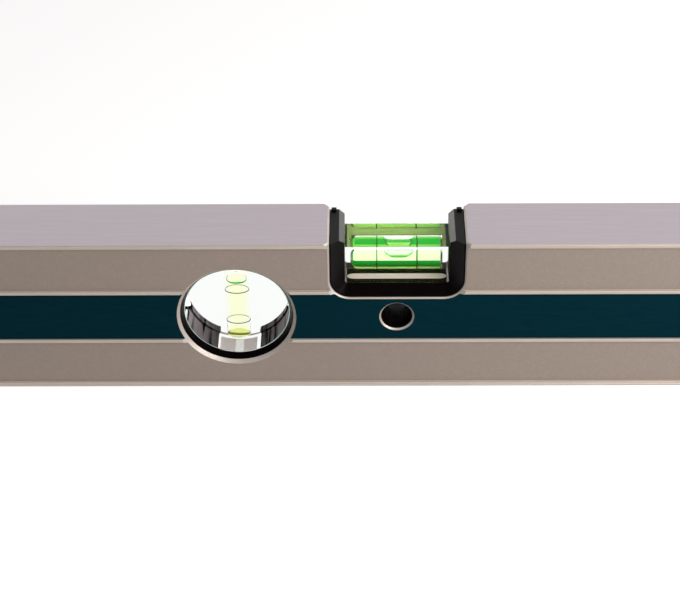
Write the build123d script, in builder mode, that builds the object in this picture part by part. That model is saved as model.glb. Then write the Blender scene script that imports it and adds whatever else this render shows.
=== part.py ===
"""A box-section spirit level with a top-reading main vial, a round plumb vial and a hanging hole.

Millimetres. X runs along the level, Y to its back, Z up. The origin is the centre of the bottom
measuring face. The front and the back have the same cross section, so both faces can be read.
"""

import os
from math import cos, radians, sin

from build123d import *

# ---- profile: driving dimensions ----
LEVEL_LENGTH = 400.0
PROFILE_HEIGHT = 60.0
PROFILE_DEPTH = 24.0
SIDE_WALL = 2.0  # behind the panels
MEASURING_WALL = 3.0  # behind the two measuring faces
WEB_THICKNESS = 1.6
PANEL_RECESS = 0.8  # how far the panels lie behind the beads
EDGE_BEAD_HEIGHT = 1.8
MIDDLE_BEAD_HEIGHT = 1.3
STRIPE_HEIGHT = 19.0
STRIPE_RISE = 0.3  # from the holes' axis up to the middle of the stripe
STRIPE_THICKNESS = 0.15
BEAD_ROUNDING = 0.25
EDGE_ROUNDING = 0.4

# ---- bevels milled round the openings ----
NOTCH_BEVEL = 0.5
NOTCH_TOP_CHAMFER = 0.6  # where the sides of the notch meet the top measuring face
PLUMB_BEVEL = 1.1
HANG_BEVEL = 0.65
BEVEL_INCLUDED_ANGLE = 90.0  # each bevel is as deep as it is wide

# ---- main vial: heights are set down from the top measuring face, where it is read ----
NOTCH_WIDTH = 45.0
NOTCH_CORNER_RADIUS = 7.0
FRAME_CLEARANCE = 0.05  # at the two sides; the frame stands on the notch floor
FRAME_SETBACK = 0.8  # from the panels to the frame's rim
FRAME_TOP_DROP = 1.1  # from the top measuring face
FRAME_FLOOR_THICKNESS = 3.25
FRAME_WALL_THICKNESS = 5.0  # of each upright arm, from its outer face to the block
FRAME_RIM_WIDTH = 0.5
FRAME_ARM_BEVEL = 1.8
FRAME_EDGE_ROUNDING = 0.3
NUB_LENGTH = 1.4
NUB_WIDTH = 1.7
NUB_HEIGHT = 0.75
NUB_SETBACK = 0.6  # from the outer face of the arm
MAIN_BLOCK_DEPTH = 13.6
MAIN_BLOCK_TOP_DROP = 4.5  # from the top measuring face
MAIN_BLOCK_HEIGHT = 14.75
MAIN_BLOCK_CORNER_RADIUS = 1.0
MAIN_BLOCK_EDGE_ROUNDING = 0.2
MAIN_BORE_RADIUS = 4.0
MAIN_BORE_COVER = 3.6  # from the top of the block to the top of the bore
MAIN_BORE_END_WALL = 1.95  # between the blind left end of the bore and the end of the block
MAIN_PLUG_LENGTH = 3.05
BLIND_END_ROUNDING = 2.4
REFLECTOR_END_MARGIN = 0.75  # from the end of the block
REFLECTOR_WIDTH = 5.85
REFLECTOR_THICKNESS = 0.8
RESIN_BED_LENGTH = 10.0
RESIN_BED_HEIGHT = 5.0
RESIN_BED_INSET = 4.0  # from the side of the notch

# ---- bubbles and index rings ----
BUBBLE_LENGTH = 9.75
BUBBLE_CENTRE_X = 0.6
BUBBLE_FLOOR_DROP = 1.95  # from the top of the bore to the underside of the main bubble
BUBBLE_WALL_CLEARANCE = 0.15
LIQUID_CLEARANCE = 0.02
LIQUID_BUBBLE_CLEARANCE = 0.1
PLUMB_BUBBLE_RADIUS = 3.3
PLUMB_BUBBLE_HEIGHT = 4.0
PLUMB_BUBBLE_ROUNDING = 1.9
PLUMB_BUBBLE_TOP_GAP = 0.3  # the film of liquid over the bubble
INDEX_RING_DEPTH = 0.25
INDEX_RING_WIDTH = 0.35
INDEX_RING_SPACING = 13.4

# ---- plumb vial ----
HOLE_AXIS_DROP = 7.8  # from the notch floor to the axis of the plumb vial and the hanging hole
PLUMB_X = -54.0
PLUMB_HOLE_RADIUS = 19.1
PLUMB_RING_CLEARANCE = 0.05
PLUMB_RING_BORE_RADIUS = 18.4
PLUMB_FRONT_LIP_RADIUS = 17.75
PLUMB_BACK_LIP_RADIUS = 17.2
PLUMB_FRONT_MOUTH_RADIUS = 18.9
PLUMB_BACK_MOUTH_RADIUS = 17.6
PLUMB_FRONT_RING_SETBACK = 1.2  # from the front panel
PLUMB_BACK_RING_SETBACK = 0.3  # from the back panel
PLUMB_DISC_RADIUS = 17.95
PLUMB_DISC_THICKNESS = 15.3
PLUMB_DISC_EDGE_ROUNDING = 0.25
PLUMB_BORE_RADIUS = 4.0
PLUMB_BORE_LENGTH = 25.4  # of the liquid, centred on the hole's axis
PLUMB_PLUG_LENGTH = 4.4
PAD_START_ANGLE = 14.0  # below the horizontal
PAD_END_ANGLE = 66.0
PAD_END_CLEARANCE = 0.3

# ---- hanging hole ----
HANG_X = 0.0
HANG_HOLE_RADIUS = 5.3
BUSH_CLEARANCE = 0.05
BUSH_MOUTH_RADIUS = 5.0
BUSH_MOUTH_DEPTH = 2.2
BUSH_BORE_RADIUS = 4.5
BUSH_EDGE_ROUNDING = 0.2

# ---- end caps ----
CAP_THICKNESS = 4.0
CAP_INSET = 0.2  # all round, behind the profile's outline
CAP_CORNER_RADIUS = 1.5
CAP_PLUG_LENGTH = 12.0
CAP_PLUG_CLEARANCE = 0.15
CAP_PLUG_CORNER_RADIUS = 1.5
CAP_PLUG_TIP_CHAMFER = 1.0
BUMPER_LENGTH = 46.0
BUMPER_WIDTH = 14.0
BUMPER_PROUD = 2.0
BUMPER_SEAT_DEPTH = 1.2
BUMPER_CLEARANCE = 0.1
BUMPER_CORNER_RADIUS = 5.0
BUMPER_EDGE_ROUNDING = 1.0

# ---- worked out from the driving dimensions ----
profile_length = LEVEL_LENGTH - 2 * (CAP_THICKNESS + BUMPER_PROUD)
panel_y = PROFILE_DEPTH / 2 - PANEL_RECESS  # distance of either panel from the middle plane
inner_wall_y = panel_y - SIDE_WALL
stripe_floor_y = panel_y - STRIPE_THICKNESS
middle_height = PROFILE_HEIGHT / 2
block_top = PROFILE_HEIGHT - MAIN_BLOCK_TOP_DROP
block_bottom = block_top - MAIN_BLOCK_HEIGHT
notch_floor = block_bottom - FRAME_FLOOR_THICKNESS
hole_axis_height = notch_floor - HOLE_AXIS_DROP
stripe_middle = hole_axis_height + STRIPE_RISE
lower_bead_top = stripe_middle - STRIPE_HEIGHT / 2
upper_bead_bottom = stripe_middle + STRIPE_HEIGHT / 2
lower_web_height = lower_bead_top - MIDDLE_BEAD_HEIGHT / 2
upper_web_height = upper_bead_bottom + MIDDLE_BEAD_HEIGHT / 2
lower_chamber = (MEASURING_WALL, lower_web_height - WEB_THICKNESS / 2)
middle_chamber = (lower_web_height + WEB_THICKNESS / 2, upper_web_height - WEB_THICKNESS / 2)
upper_chamber = (upper_web_height + WEB_THICKNESS / 2, PROFILE_HEIGHT - MEASURING_WALL)
chambers = (lower_chamber, middle_chamber, upper_chamber)
frame_y = panel_y - FRAME_SETBACK
frame_half_width = NOTCH_WIDTH / 2 - FRAME_CLEARANCE
frame_top = PROFILE_HEIGHT - FRAME_TOP_DROP
block_half_length = frame_half_width - FRAME_WALL_THICKNESS
block_y = MAIN_BLOCK_DEPTH / 2
cut_top = PROFILE_HEIGHT + NOTCH_CORNER_RADIUS  # clear of the top measuring face
bore_top = block_top - MAIN_BORE_COVER
bore_height = bore_top - MAIN_BORE_RADIUS
bubble_floor = bore_top - BUBBLE_FLOOR_DROP
bore_blind_x = MAIN_BORE_END_WALL - block_half_length
plug_x = block_half_length - MAIN_PLUG_LENGTH
reflector_length = 2 * (block_half_length - REFLECTOR_END_MARGIN)
resin_bed_spacing = NOTCH_WIDTH - 2 * RESIN_BED_INSET - RESIN_BED_LENGTH
disc_y = PLUMB_DISC_THICKNESS / 2
plumb_bore_top = hole_axis_height + PLUMB_BORE_LENGTH / 2
plumb_bore_bottom = hole_axis_height - PLUMB_BORE_LENGTH / 2
plumb_bubble_top = plumb_bore_top - PLUMB_BUBBLE_TOP_GAP
plumb_bubble_middle = plumb_bubble_top - PLUMB_BUBBLE_HEIGHT / 2
front_ring_y = panel_y - PLUMB_FRONT_RING_SETBACK
back_ring_y = panel_y - PLUMB_BACK_RING_SETBACK
foot_slot_half_width = PLUMB_DISC_RADIUS * cos(radians(PAD_END_ANGLE))  # as far as the two pads
bush_y = panel_y - HANG_BEVEL
end_x = profile_length / 2

plumb_axis = Axis((PLUMB_X, 0, hole_axis_height), (0, 1, 0))
hang_axis = Axis((HANG_X, 0, hole_axis_height), (0, 1, 0))

os.makedirs("parts", exist_ok=True)


def write(name, piece):
    """Label a finished piece and write it as its own STEP file."""
    piece.label = name
    export_step(piece, f"parts/{name}.step")


def u_outline(half_width, floor_height, radius, top_height):
    """A solid U: round lower corners and a square top."""
    with BuildSketch() as outline:
        with BuildLine():
            FilletPolyline(
                (-half_width, top_height),
                (-half_width, floor_height),
                (half_width, floor_height),
                (half_width, top_height),
                radius=radius,
            )
            Line((half_width, top_height), (-half_width, top_height))
        make_face()
    return outline.sketch


def notch(grown):
    """The notch's outline, grown outwards all round and open past the top measuring face."""
    return u_outline(
        NOTCH_WIDTH / 2 + grown, notch_floor - grown, NOTCH_CORNER_RADIUS + grown, cut_top
    )


def block_seat(top_height):
    """The outline of the block, which is the frame's inner outline too."""
    return u_outline(block_half_length, block_bottom, MAIN_BLOCK_CORNER_RADIUS, top_height)


def pad_section():
    """One pad's arc, at the lower right of the disc, about the disc's centre."""
    sweep = PAD_END_ANGLE - PAD_START_ANGLE
    ends = (radians(-PAD_START_ANGLE), radians(-PAD_END_ANGLE))
    with BuildSketch() as pad:
        with BuildLine():
            CenterArc((0, 0), PLUMB_DISC_RADIUS, -PAD_END_ANGLE, sweep)
            CenterArc((0, 0), PLUMB_RING_BORE_RADIUS, -PAD_END_ANGLE, sweep)
            for end in ends:
                Line(
                    (PLUMB_DISC_RADIUS * cos(end), PLUMB_DISC_RADIUS * sin(end)),
                    (PLUMB_RING_BORE_RADIUS * cos(end), PLUMB_RING_BORE_RADIUS * sin(end)),
                )
        make_face()
    return pad.sketch


def facing(distance):
    """The upright plane at this distance in front of the middle plane (behind it where negative)."""
    return Plane(origin=(0, -distance, 0), x_dir=(1, 0, 0), z_dir=(0, -1, 0))


# ---- profile: hollow extrusion with beads, three chambers, the notch and two holes ----
with BuildPart() as profile:
    with BuildSketch(Plane.YZ) as section:
        with Locations((0, middle_height)):
            Rectangle(2 * panel_y, PROFILE_HEIGHT)
        for bead_bottom in (0, PROFILE_HEIGHT - EDGE_BEAD_HEIGHT):
            with Locations((0, bead_bottom + EDGE_BEAD_HEIGHT / 2)):
                Rectangle(PROFILE_DEPTH, EDGE_BEAD_HEIGHT)
        for bead_height in (lower_web_height, upper_web_height):
            with Locations((0, bead_height)):
                Rectangle(PROFILE_DEPTH, MIDDLE_BEAD_HEIGHT)
        tips = section.vertices().filter_by(lambda v: abs(abs(v.Y) - PROFILE_DEPTH / 2) < BEAD_ROUNDING)
        corners = tips.filter_by(lambda v: v.Z < BEAD_ROUNDING or v.Z > PROFILE_HEIGHT - BEAD_ROUNDING)
        fillet(corners, EDGE_ROUNDING)
        fillet([tip for tip in tips if tip not in corners], BEAD_ROUNDING)
        for side in (-1, 1):
            with Locations((side * panel_y, stripe_middle)):
                Rectangle(2 * STRIPE_THICKNESS, STRIPE_HEIGHT, mode=Mode.SUBTRACT)
        for bottom, top in chambers:
            with Locations((0, (bottom + top) / 2)):
                RectangleRounded(2 * inner_wall_y, top - bottom, EDGE_ROUNDING, mode=Mode.SUBTRACT)
    extrude(amount=profile_length / 2, both=True)

    with BuildSketch(facing(0)):
        add(notch(0))
    extrude(amount=PROFILE_DEPTH, both=True, mode=Mode.SUBTRACT)
    reach = NOTCH_BEVEL + PANEL_RECESS
    for side in (-1, 1):
        with BuildSketch(facing(side * (PROFILE_DEPTH / 2 - reach))):
            add(notch(0))
        with BuildSketch(facing(side * PROFILE_DEPTH / 2)):
            add(notch(reach))
        loft(ruled=True, mode=Mode.SUBTRACT)
    with BuildSketch(facing(0)):
        with Locations((0, PROFILE_HEIGHT - NOTCH_TOP_CHAMFER)):
            Polygon(
                (-NOTCH_WIDTH / 2, 0),
                (NOTCH_WIDTH / 2, 0),
                (NOTCH_WIDTH / 2 + NOTCH_TOP_CHAMFER, NOTCH_TOP_CHAMFER),
                (-NOTCH_WIDTH / 2 - NOTCH_TOP_CHAMFER, NOTCH_TOP_CHAMFER),
                align=None,
            )
    extrude(amount=PROFILE_DEPTH, both=True, mode=Mode.SUBTRACT)

    openings = (
        (PLUMB_X, PLUMB_HOLE_RADIUS, PLUMB_BEVEL),
        (HANG_X, HANG_HOLE_RADIUS, HANG_BEVEL),
    )
    for centre_x, hole_radius, bevel in openings:
        for side in (-1, 1):
            rim_plane = Plane(
                origin=(centre_x, side * PROFILE_DEPTH / 2, hole_axis_height),
                x_dir=(1, 0, 0),
                z_dir=(0, side, 0),
            )
            with Locations(rim_plane):
                CounterSinkHole(
                    radius=hole_radius,
                    counter_sink_radius=hole_radius + bevel + PANEL_RECESS,
                    counter_sink_angle=BEVEL_INCLUDED_ANGLE,
                    depth=PROFILE_DEPTH,
                )
write("profile", profile.part)

# ---- stripes: thin strips in the channel between the middle beads, cut clear of every bevel ----
for name, side in (("front_stripe", 1), ("back_stripe", -1)):
    with BuildPart() as stripe:
        with BuildSketch(facing(side * stripe_floor_y)):
            with Locations((0, stripe_middle)):
                Rectangle(profile_length, STRIPE_HEIGHT)
            add(notch(NOTCH_BEVEL), mode=Mode.SUBTRACT)
            for centre_x, hole_radius, bevel in openings:
                with Locations((centre_x, hole_axis_height)):
                    Circle(hole_radius + bevel, mode=Mode.SUBTRACT)
        extrude(amount=side * STRIPE_THICKNESS)
    write(name, stripe.part)

# ---- main vial frame: a U moulding that stands on the notch floor ----
with BuildPart() as main_vial_frame:
    with BuildSketch(facing(0)) as frame_section:
        add(u_outline(frame_half_width, notch_floor, NOTCH_CORNER_RADIUS, frame_top))
        add(block_seat(cut_top), mode=Mode.SUBTRACT)
        arm_tops = frame_section.vertices().group_by(Axis.Y)[-1].sort_by(Axis.X)
        chamfer(arm_tops[1:-1], FRAME_ARM_BEVEL)
        fillet([arm_tops[0], arm_tops[-1]], FRAME_EDGE_ROUNDING)
    extrude(amount=frame_y, both=True)
    with BuildSketch(facing(block_y)):
        add(block_seat(cut_top))
    with BuildSketch(facing(frame_y)):
        add(
            u_outline(
                frame_half_width - FRAME_RIM_WIDTH,
                notch_floor + FRAME_RIM_WIDTH,
                NOTCH_CORNER_RADIUS - FRAME_RIM_WIDTH,
                cut_top,
            )
        )
    loft(ruled=True, mode=Mode.SUBTRACT)
    nub_x = frame_half_width - NUB_SETBACK - NUB_WIDTH / 2
    with BuildSketch(Plane.XY.offset(frame_top)):
        with Locations((-nub_x, frame_y - NUB_LENGTH / 2), (nub_x, frame_y - NUB_LENGTH / 2)):
            Rectangle(NUB_WIDTH, NUB_LENGTH)
    extrude(amount=NUB_HEIGHT)
    with BuildSketch(Plane.XY.offset(block_bottom)):
        SlotOverall(reflector_length, REFLECTOR_WIDTH)
    extrude(amount=-REFLECTOR_THICKNESS, mode=Mode.SUBTRACT)
write("main_vial_frame", main_vial_frame.part)

# ---- main vial reflector: a pale strip let into the frame's floor, under the block ----
with BuildPart() as main_vial_reflector:
    with BuildSketch(Plane.XY.offset(block_bottom)):
        SlotOverall(reflector_length, REFLECTOR_WIDTH)
    extrude(amount=-REFLECTOR_THICKNESS)
write("main_vial_reflector", main_vial_reflector.part)

# ---- main frame resin: two cast beds between the side walls, under the frame ----
with BuildPart() as main_frame_resin:
    with BuildSketch(Plane.XY.offset(notch_floor)):
        with GridLocations(resin_bed_spacing, 0, 2, 1):
            Rectangle(RESIN_BED_LENGTH, 2 * inner_wall_y)
    extrude(amount=-RESIN_BED_HEIGHT)
write("main_frame_resin", main_frame_resin.part)

# ---- main vial lines: two index rings sunk in the wall of the bore ----
with BuildPart() as main_vial_lines:
    for side in (-1, 1):
        with BuildSketch(Plane.YZ.offset(side * INDEX_RING_SPACING / 2 - INDEX_RING_WIDTH / 2)):
            with Locations((0, bore_height)):
                Circle(MAIN_BORE_RADIUS + INDEX_RING_DEPTH)
                Circle(MAIN_BORE_RADIUS, mode=Mode.SUBTRACT)
        extrude(amount=INDEX_RING_WIDTH)
write("main_vial_lines", main_vial_lines.part)

# ---- main vial block: clear, bored from its right end, with a groove for each index ring ----
with BuildPart() as main_bore:
    with BuildSketch(Plane.YZ.offset(bore_blind_x)):
        with Locations((0, bore_height)):
            Circle(MAIN_BORE_RADIUS)
    extrude(amount=block_half_length - bore_blind_x)
    fillet(main_bore.edges().group_by(Axis.X)[0], BLIND_END_ROUNDING)

with BuildPart() as main_vial_block:
    with BuildSketch(facing(0)):
        add(block_seat(block_top))
    extrude(amount=block_y, both=True)
    fillet(main_vial_block.edges().filter_by(Axis.X).group_by(Axis.Z)[-1], MAIN_BLOCK_EDGE_ROUNDING)
    add(main_bore.part, mode=Mode.SUBTRACT)
    add(main_vial_lines.part, mode=Mode.SUBTRACT)
write("main_vial_block", main_vial_block.part)

# ---- main vial plug: closes the right end of the bore ----
with BuildPart() as main_vial_plug:
    with BuildSketch(Plane.YZ.offset(plug_x)):
        with Locations((0, bore_height)):
            Circle(MAIN_BORE_RADIUS - LIQUID_CLEARANCE)
    extrude(amount=MAIN_PLUG_LENGTH)
write("main_vial_plug", main_vial_plug.part)


# ---- main vial bubble and liquid: the liquid has a pocket where the bubble rests ----
def main_bubble_shape(grown):
    """A stadium from above, flat below and round above, where it follows the bore."""
    radius = MAIN_BORE_RADIUS - BUBBLE_WALL_CLEARANCE + grown
    floor_height = bubble_floor - grown
    half_width = (radius**2 - (floor_height - bore_height) ** 2) ** 0.5
    with BuildPart() as shape:
        with BuildSketch(Plane.XY.offset(floor_height)):
            with Locations((BUBBLE_CENTRE_X, 0)):
                SlotOverall(BUBBLE_LENGTH + 2 * grown, 2 * half_width)
        extrude(amount=MAIN_BORE_RADIUS)
        with BuildSketch(Plane.YZ):
            with Locations((0, bore_height)):
                Circle(radius)
        extrude(amount=block_half_length, both=True, mode=Mode.INTERSECT)
    return shape.part


write("main_vial_bubble", main_bubble_shape(0))

with BuildPart() as main_vial_liquid:
    with BuildSketch(Plane.YZ.offset(bore_blind_x + LIQUID_CLEARANCE)):
        with Locations((0, bore_height)):
            Circle(MAIN_BORE_RADIUS - LIQUID_CLEARANCE)
    extrude(amount=plug_x - bore_blind_x - LIQUID_CLEARANCE)
    fillet(main_vial_liquid.edges().group_by(Axis.X)[0], BLIND_END_ROUNDING)
    add(main_bubble_shape(LIQUID_BUBBLE_CLEARANCE), mode=Mode.SUBTRACT)
write("main_vial_liquid", main_vial_liquid.part)

# ---- plumb rings: two halves that meet in the middle plane; the back one is open at its foot ----
ring_outer_radius = PLUMB_HOLE_RADIUS - PLUMB_RING_CLEARANCE
ring_halves = (
    ("plumb_front_ring", -1, front_ring_y, PLUMB_FRONT_LIP_RADIUS, PLUMB_FRONT_MOUTH_RADIUS),
    ("plumb_back_ring", 1, back_ring_y, PLUMB_BACK_LIP_RADIUS, PLUMB_BACK_MOUTH_RADIUS),
)
for name, side, mouth_y, lip_radius, mouth_radius in ring_halves:
    with BuildPart() as ring:
        with BuildSketch(Plane.XY.offset(hole_axis_height)):
            with Locations((PLUMB_X, 0)):
                Polygon(
                    (ring_outer_radius, 0),
                    (ring_outer_radius, side * mouth_y),
                    (mouth_radius, side * mouth_y),
                    (lip_radius, side * disc_y),
                    (PLUMB_RING_BORE_RADIUS, side * disc_y),
                    (PLUMB_RING_BORE_RADIUS, 0),
                    align=None,
                )
        revolve(axis=plumb_axis)
        if side > 0:
            with Locations((PLUMB_X, mouth_y / 2, hole_axis_height - PLUMB_HOLE_RADIUS)):
                Box(2 * foot_slot_half_width, mouth_y, PLUMB_HOLE_RADIUS, mode=Mode.SUBTRACT)
    write(name, ring.part)

# ---- plumb ring pads: two seats under the disc, at its lower left and lower right ----
with BuildPart() as plumb_ring_pads:
    with BuildSketch(facing(0)):
        with Locations((PLUMB_X, hole_axis_height)):
            add(pad_section())
            add(mirror(pad_section(), about=Plane.YZ, mode=Mode.PRIVATE))
    extrude(amount=disc_y - PAD_END_CLEARANCE, both=True)
write("plumb_ring_pads", plumb_ring_pads.part)

# ---- plumb vial lines: two index rings sunk in the wall of the upright bore ----
with BuildPart() as plumb_vial_lines:
    for side in (-1, 1):
        ring_bottom = hole_axis_height + side * INDEX_RING_SPACING / 2 - INDEX_RING_WIDTH / 2
        with BuildSketch(Plane.XY.offset(ring_bottom)):
            with Locations((PLUMB_X, 0)):
                Circle(PLUMB_BORE_RADIUS + INDEX_RING_DEPTH)
                Circle(PLUMB_BORE_RADIUS, mode=Mode.SUBTRACT)
        extrude(amount=INDEX_RING_WIDTH)
write("plumb_vial_lines", plumb_vial_lines.part)

# ---- plumb vial block: clear disc, bored upright from below ----
with BuildPart() as plumb_vial_block:
    with BuildSketch(facing(0)):
        with Locations((PLUMB_X, hole_axis_height)):
            Circle(PLUMB_DISC_RADIUS)
    extrude(amount=disc_y, both=True)
    fillet(plumb_vial_block.edges().filter_by(GeomType.CIRCLE), PLUMB_DISC_EDGE_ROUNDING)
    with BuildSketch(Plane.XY.offset(plumb_bore_top)):
        with Locations((PLUMB_X, 0)):
            Circle(PLUMB_BORE_RADIUS)
    extrude(amount=-PLUMB_DISC_RADIUS * 2, mode=Mode.SUBTRACT)
    add(plumb_vial_lines.part, mode=Mode.SUBTRACT)
write("plumb_vial_block", plumb_vial_block.part)

# ---- plumb vial plug: closes the bore from below ----
with BuildPart() as plumb_vial_plug:
    with BuildSketch(Plane.XY.offset(plumb_bore_bottom)):
        with Locations((PLUMB_X, 0)):
            Circle(PLUMB_BORE_RADIUS - LIQUID_CLEARANCE)
    extrude(amount=-PLUMB_PLUG_LENGTH)
write("plumb_vial_plug", plumb_vial_plug.part)


# ---- plumb vial bubble and liquid: the bubble rests under the top of the bore ----
def plumb_bubble_shape(grown):
    """A flattened ball, round about the upright bore."""
    with BuildPart() as shape:
        with Locations((PLUMB_X, 0, plumb_bubble_middle)):
            Cylinder(PLUMB_BUBBLE_RADIUS + grown, PLUMB_BUBBLE_HEIGHT + 2 * grown)
        fillet(shape.edges().filter_by(GeomType.CIRCLE), PLUMB_BUBBLE_ROUNDING)
    return shape.part


write("plumb_vial_bubble", plumb_bubble_shape(0))

with BuildPart() as plumb_vial_liquid:
    with BuildSketch(Plane.XY.offset(plumb_bore_bottom)):
        with Locations((PLUMB_X, 0)):
            Circle(PLUMB_BORE_RADIUS - LIQUID_CLEARANCE)
    extrude(amount=PLUMB_BORE_LENGTH - LIQUID_CLEARANCE)
    add(plumb_bubble_shape(LIQUID_BUBBLE_CLEARANCE), mode=Mode.SUBTRACT)
write("plumb_vial_liquid", plumb_vial_liquid.part)

# ---- hanging hole bushes: two stepped linings that meet in the middle plane ----
for name, side in (("hang_front_bush", -1), ("hang_back_bush", 1)):
    with BuildPart() as bush:
        with BuildSketch(Plane.XY.offset(hole_axis_height)) as bush_section:
            with Locations((HANG_X, 0)):
                Polygon(
                    (HANG_HOLE_RADIUS - BUSH_CLEARANCE, 0),
                    (HANG_HOLE_RADIUS - BUSH_CLEARANCE, side * bush_y),
                    (BUSH_MOUTH_RADIUS, side * bush_y),
                    (BUSH_MOUTH_RADIUS, side * (bush_y - BUSH_MOUTH_DEPTH)),
                    (BUSH_BORE_RADIUS, side * (bush_y - BUSH_MOUTH_DEPTH)),
                    (BUSH_BORE_RADIUS, 0),
                    align=None,
                )
            bore_corners = bush_section.vertices().sort_by(Axis.X)[0:2]
            fillet(bore_corners.sort_by(lambda corner: side * corner.Y)[-1], BUSH_EDGE_ROUNDING)
        revolve(axis=hang_axis)
    write(name, bush.part)

# ---- end caps: a plate with a plug in each chamber, and a soft bumper set in its outer face ----
for hand, side in (("left", -1), ("right", 1)):
    seat_plane = Plane(origin=(side * end_x, 0, middle_height), x_dir=(0, 1, 0), z_dir=(side, 0, 0))
    with BuildPart() as end_cap:
        with BuildSketch(seat_plane):
            RectangleRounded(PROFILE_DEPTH - 2 * CAP_INSET, PROFILE_HEIGHT - 2 * CAP_INSET, CAP_CORNER_RADIUS)
        extrude(amount=CAP_THICKNESS)
        with BuildSketch(seat_plane.offset(CAP_THICKNESS)):
            RectangleRounded(
                BUMPER_WIDTH + 2 * BUMPER_CLEARANCE,
                BUMPER_LENGTH + 2 * BUMPER_CLEARANCE,
                BUMPER_CORNER_RADIUS + BUMPER_CLEARANCE,
            )
        extrude(amount=-BUMPER_SEAT_DEPTH, mode=Mode.SUBTRACT)
        with BuildSketch(seat_plane):
            for bottom, top in chambers:
                with Locations((0, side * ((bottom + top) / 2 - middle_height))):
                    RectangleRounded(
                        2 * (inner_wall_y - CAP_PLUG_CLEARANCE),
                        top - bottom - 2 * CAP_PLUG_CLEARANCE,
                        CAP_PLUG_CORNER_RADIUS,
                    )
        extrude(amount=-CAP_PLUG_LENGTH)
        outward = Axis(seat_plane.origin, seat_plane.z_dir)
        chamfer(end_cap.edges().group_by(outward)[0], CAP_PLUG_TIP_CHAMFER)
    write(f"{hand}_end_cap", end_cap.part)

    with BuildPart() as end_bumper:
        with BuildSketch(seat_plane.offset(CAP_THICKNESS - BUMPER_SEAT_DEPTH)):
            RectangleRounded(BUMPER_WIDTH, BUMPER_LENGTH, BUMPER_CORNER_RADIUS)
        extrude(amount=BUMPER_SEAT_DEPTH + BUMPER_PROUD)
        fillet(end_bumper.edges().group_by(outward)[-1], BUMPER_EDGE_ROUNDING)
    write(f"{hand}_end_bumper", end_bumper.part)
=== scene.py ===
"""Box-section spirit level, 400 mm long: the aluminium body, its two vials and its end fittings."""

from math import cos, pi, radians, sin, sqrt

import bmesh
import bpy
from mathutils import Matrix, Vector


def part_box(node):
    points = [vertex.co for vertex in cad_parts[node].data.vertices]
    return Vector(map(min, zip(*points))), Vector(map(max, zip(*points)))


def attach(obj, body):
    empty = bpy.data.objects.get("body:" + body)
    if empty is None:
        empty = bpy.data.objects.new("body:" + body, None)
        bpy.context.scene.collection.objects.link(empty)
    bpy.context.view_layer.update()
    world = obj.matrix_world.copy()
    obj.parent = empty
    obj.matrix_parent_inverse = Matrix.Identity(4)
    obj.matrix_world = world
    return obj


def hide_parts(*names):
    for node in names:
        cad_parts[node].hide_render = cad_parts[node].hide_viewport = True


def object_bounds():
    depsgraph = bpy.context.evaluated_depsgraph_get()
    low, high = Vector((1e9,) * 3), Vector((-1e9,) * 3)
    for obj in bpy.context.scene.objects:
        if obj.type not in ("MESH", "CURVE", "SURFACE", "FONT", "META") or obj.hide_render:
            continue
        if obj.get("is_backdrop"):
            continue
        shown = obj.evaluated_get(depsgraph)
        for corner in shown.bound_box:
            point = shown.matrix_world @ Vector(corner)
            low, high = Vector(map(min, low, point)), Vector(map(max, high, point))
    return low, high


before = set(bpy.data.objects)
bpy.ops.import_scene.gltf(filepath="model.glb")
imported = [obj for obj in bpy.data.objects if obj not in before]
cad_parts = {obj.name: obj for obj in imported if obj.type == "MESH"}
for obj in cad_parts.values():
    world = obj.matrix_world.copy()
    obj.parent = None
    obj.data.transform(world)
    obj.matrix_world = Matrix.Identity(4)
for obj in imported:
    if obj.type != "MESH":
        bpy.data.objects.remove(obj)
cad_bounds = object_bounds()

# ---- studio: floor, daylight, softboxes and camera ----
# The level stands on a pale sheet. A softbox at its right front, a long low strip behind it and even
# daylight light it. The camera looks down on the front at 37 degrees, as one reads the main vial.
MM = 0.001


def linear(code):
    """The linear colour, with alpha, of an sRGB hex code."""
    parts = [int(code[i : i + 2], 16) / 255 for i in (0, 2, 4)]
    return (*(c / 12.92 if c <= 0.04045 else ((c + 0.055) / 1.055) ** 2.4 for c in parts), 1.0)


def node(tree, kind, inputs=None, **settings):
    """Add a node with its settings; each input takes a plain value or another node's output."""
    made = tree.nodes.new(kind)
    for name, value in settings.items():
        setattr(made, name, value)
    for key, value in (inputs or {}).items():
        if isinstance(value, bpy.types.NodeSocket):
            tree.links.new(value, made.inputs[key])
        else:
            made.inputs[key].default_value = value
    return made


def blank_material(name):
    """A material whose node tree is empty, and that tree."""
    made = bpy.data.materials.new(name)
    made.use_nodes = True
    made.node_tree.nodes.clear()
    return made, made.node_tree


scene = bpy.context.scene
scene.view_settings.view_transform = "Standard"

# Matt paper scatters light evenly and keeps the level's shadow; behind glass it is plain white.
floor_sheet, tree = blank_material("pale_paper_sheet")
ray = node(tree, "ShaderNodeLightPath")
grain = node(tree, "ShaderNodeTexNoise", {"Scale": 1 / (4 * MM), "Detail": 2.0})
paper = node(tree, "ShaderNodeBump", {"Strength": 0.04, "Distance": 0.1 * MM, "Height": grain.outputs["Fac"]})
lit = node(tree, "ShaderNodeBsdfDiffuse", {"Color": linear("D2D1D0"), "Normal": paper.outputs["Normal"]})
glow = node(tree, "ShaderNodeEmission", {"Color": linear("FFFFFF"), "Strength": 0.6})
seen_lit = node(tree, "ShaderNodeAddShader", {0: lit.outputs[0], 1: glow.outputs[0]})
white = node(tree, "ShaderNodeEmission", {"Color": linear("FFFFFF"), "Strength": 1.0})
rays = {0: ray.outputs["Is Camera Ray"], 1: ray.outputs["Is Glossy Ray"]}
seen = node(tree, "ShaderNodeMath", rays, operation="MAXIMUM")
shades = {"Fac": seen.outputs[0], 1: lit.outputs[0], 2: seen_lit.outputs[0]}
plain_or_seen = node(tree, "ShaderNodeMixShader", shades)
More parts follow.
